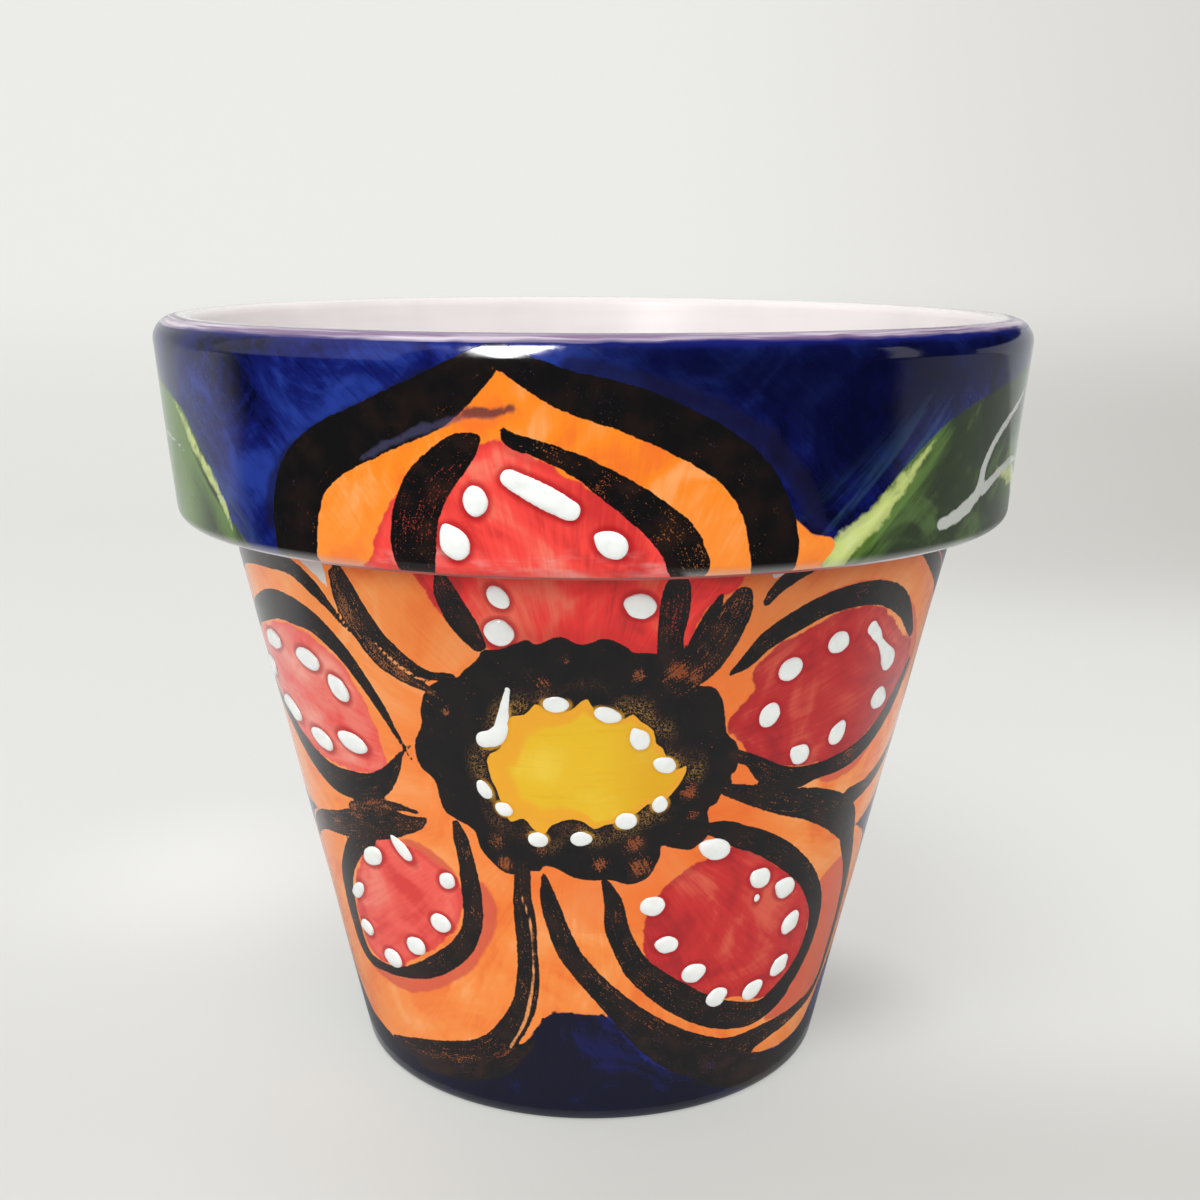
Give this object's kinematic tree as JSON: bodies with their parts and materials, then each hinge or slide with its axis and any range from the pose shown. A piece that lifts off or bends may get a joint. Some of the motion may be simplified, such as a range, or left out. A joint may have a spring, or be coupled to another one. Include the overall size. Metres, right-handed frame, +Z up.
{
  "type": "painted flower pot",
  "caption": "Tapered round flower pot with a thick flared collar, a rolled lip and a drainage hole, painted all over in flowers and leaves with raised white dots.",
  "frame": {"origin": "centre of the flat foot that the pot stands on", "axes": "+Z up along the axis of the pot; -Y towards the middle of the painted flower that the picture shows, +X to the right of it"},
  "size_m": [0.16, 0.16, 0.141],
  "materials": {
    "bare_clay": "unglazed earthenware, matt",
    "lining_white": "glossy off-white glaze, faintly pink",
    "step_white": "glossy thin pale glaze",
    "lip_lilac": "glossy thin lilac glaze",
    "collar_paint": "glossy painted glaze, cobalt ground",
    "wall_paint": "glossy painted glaze, orange flower on cobalt"
  },
  "bodies": {
    "root": {"base_clay": "bare_clay", "wall_clay": "bare_clay", "collar_clay": "bare_clay", "wall_glaze": "wall_paint", "step_glaze": "step_white", "collar_glaze": "collar_paint", "lip_glaze": "lip_lilac", "lining_glaze": "lining_white"}
  },
  "joints": []
}
